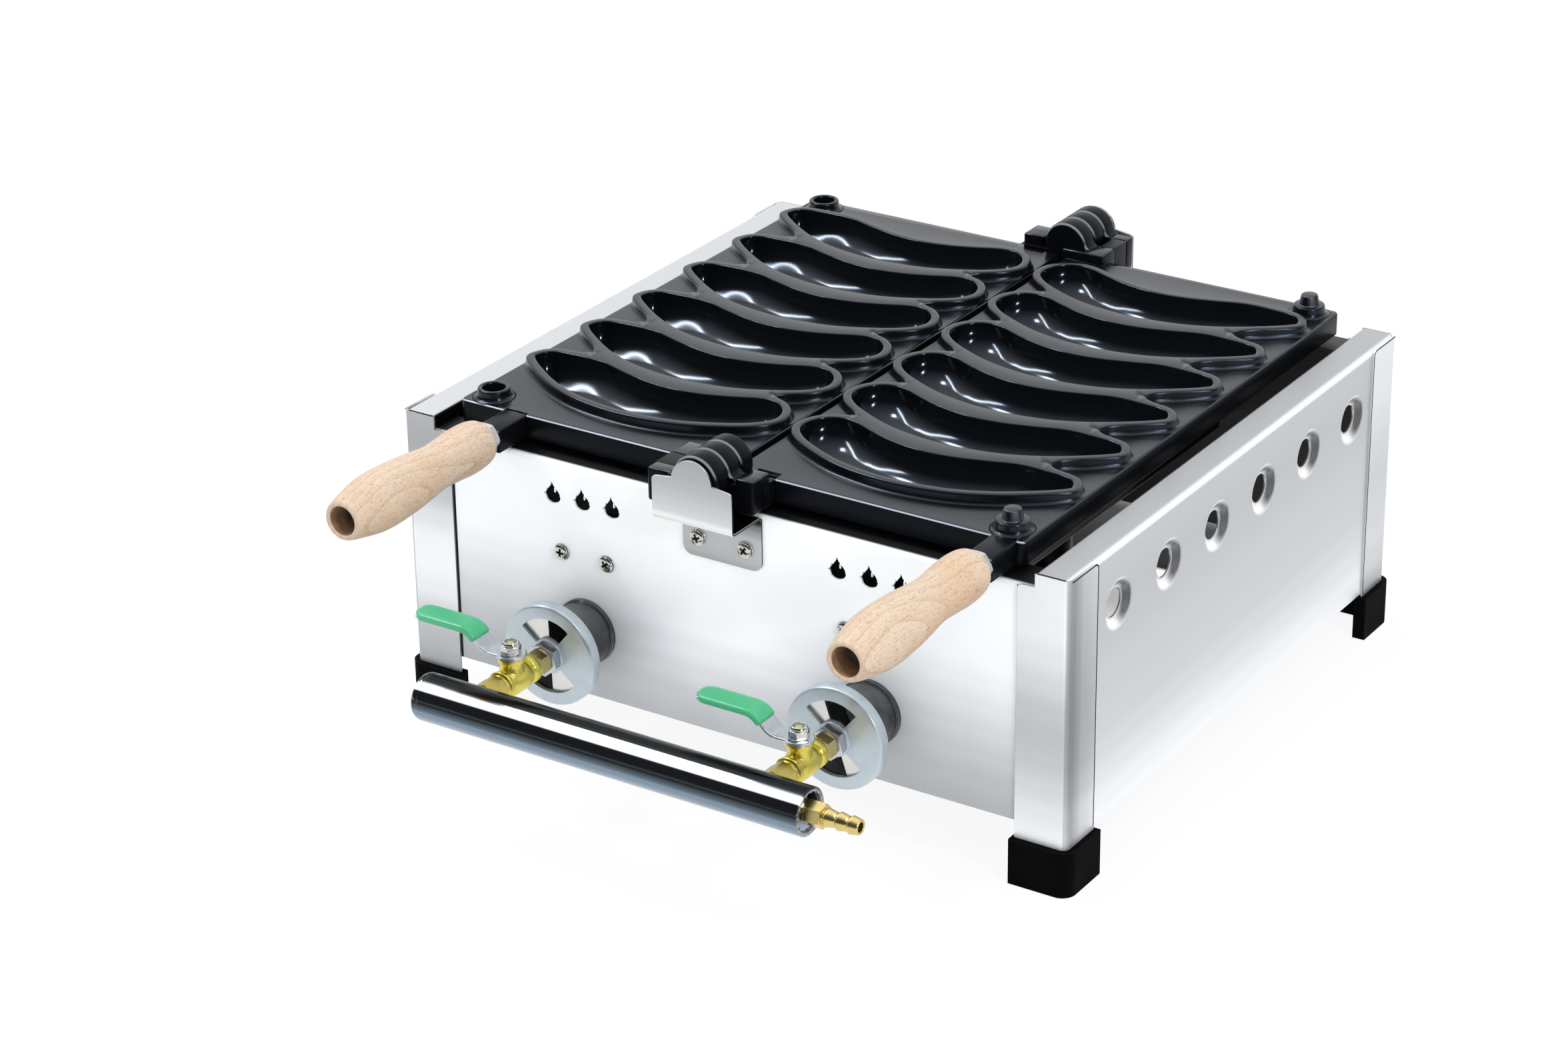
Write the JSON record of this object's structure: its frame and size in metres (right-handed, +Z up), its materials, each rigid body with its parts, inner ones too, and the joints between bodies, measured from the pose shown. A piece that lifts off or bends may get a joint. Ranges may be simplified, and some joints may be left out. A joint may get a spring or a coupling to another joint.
{
  "type": "gas waffle maker",
  "caption": "Tabletop gas waffle maker: sheet steel frame with burners below, two hinged black cast plates with half-moon cavities, wooden handles, valves and a manifold.",
  "frame": {"origin": "on the floor, under the middle of the object's bounding box", "axes": "+Z up, +Y to the rear along the hinge axis, +X to the right seen from the handles"},
  "size_m": [0.4268, 0.5468, 0.2104],
  "materials": {
    "panel_steel": "satin",
    "bracket_steel": "satin",
    "rubber": "matte",
    "cast_plate": "satin black coating",
    "beech": "sanded, unvarnished",
    "burner_iron": "grey casting",
    "brass": "machined",
    "chrome_pipe": "polished",
    "green_sleeve": "dipped",
    "neck_steel": "satin",
    "zinc": "zinc plated"
  },
  "bodies": {
    "frame": {"side_panel_left": "panel_steel", "side_panel_right": "panel_steel", "post_front_left": "panel_steel", "post_front_right": "panel_steel", "post_rear_left": "panel_steel", "post_rear_right": "panel_steel", "foot_front_left": "rubber", "foot_front_right": "rubber", "foot_rear_left": "rubber", "foot_rear_right": "rubber", "front_panel": "panel_steel", "back_panel": "panel_steel", "bracket_front": "bracket_steel", "bracket_rear": "bracket_steel", "bracket_screw_front_left": "zinc", "bracket_screw_front_right": "zinc", "bracket_screw_rear_left": "zinc", "bracket_screw_rear_right": "zinc", "hinge_pin_front": "zinc", "hinge_pin_rear": "zinc", "burner_screw_front_1": "zinc", "burner_screw_front_2": "zinc", "burner_screw_front_3": "zinc", "burner_screw_front_4": "zinc", "burner_screw_rear_1": "zinc", "burner_screw_rear_2": "zinc", "burner_screw_rear_3": "zinc", "burner_screw_rear_4": "zinc", "burner_left": "burner_iron", "burner_right": "burner_iron", "neck_plate_left": "neck_steel", "neck_plate_right": "neck_steel", "shutter_nut_left": "zinc", "shutter_nut_right": "zinc", "nozzle_left": "brass", "nozzle_right": "brass", "valve_body_left": "brass", "valve_body_right": "brass", "manifold": "chrome_pipe", "hose_barb": "brass"},
    "plate_left_assembly": {"plate_left": "cast_plate", "handle_rod_left": "zinc", "lug_nut_left": "zinc", "grip_left": "beech", "grip_nut_left": "zinc"},
    "plate_right_assembly": {"plate_right": "cast_plate", "handle_rod_right": "zinc", "lug_nut_right": "zinc", "grip_right": "beech", "grip_nut_right": "zinc"},
    "air_shutter_left_disc": {"air_shutter_left": "neck_steel"},
    "air_shutter_right_disc": {"air_shutter_right": "neck_steel"},
    "valve_left_lever": {"valve_stem_left": "brass", "valve_lever_left": "zinc", "lever_sleeve_left": "green_sleeve", "stem_nut_left": "zinc"},
    "valve_right_lever": {"valve_stem_right": "brass", "valve_lever_right": "zinc", "lever_sleeve_right": "green_sleeve", "stem_nut_right": "zinc"}
  },
  "joints": [
    {"name": "plate_left_hinge", "type": "hinge", "parent": "frame", "child": "plate_left_assembly", "pos_m": [0, 0.05674, 0.1966], "axis": [0, 1, 0], "range_deg": [0, 180]},
    {"name": "plate_right_hinge", "type": "hinge", "parent": "frame", "child": "plate_right_assembly", "pos_m": [0, 0.05674, 0.1966], "axis": [0, -1, 0], "range_deg": [0, 180]},
    {"name": "valve_left_turn", "type": "hinge", "parent": "frame", "child": "valve_left_lever", "pos_m": [-0.091, -0.20031, 0.0902], "axis": [0, 0, 1], "range_deg": [0, 90]},
    {"name": "valve_right_turn", "type": "hinge", "parent": "frame", "child": "valve_right_lever", "pos_m": [0.091, -0.20031, 0.0902], "axis": [0, 0, 1], "range_deg": [0, 90]},
    {"name": "air_shutter_left_turn", "type": "hinge", "parent": "frame", "child": "air_shutter_left_disc", "pos_m": [-0.091, -0.16681, 0.0755], "axis": [0, -1, 0], "continuous": true},
    {"name": "air_shutter_right_turn", "type": "hinge", "parent": "frame", "child": "air_shutter_right_disc", "pos_m": [0.091, -0.16681, 0.0755], "axis": [0, -1, 0], "continuous": true}
  ]
}
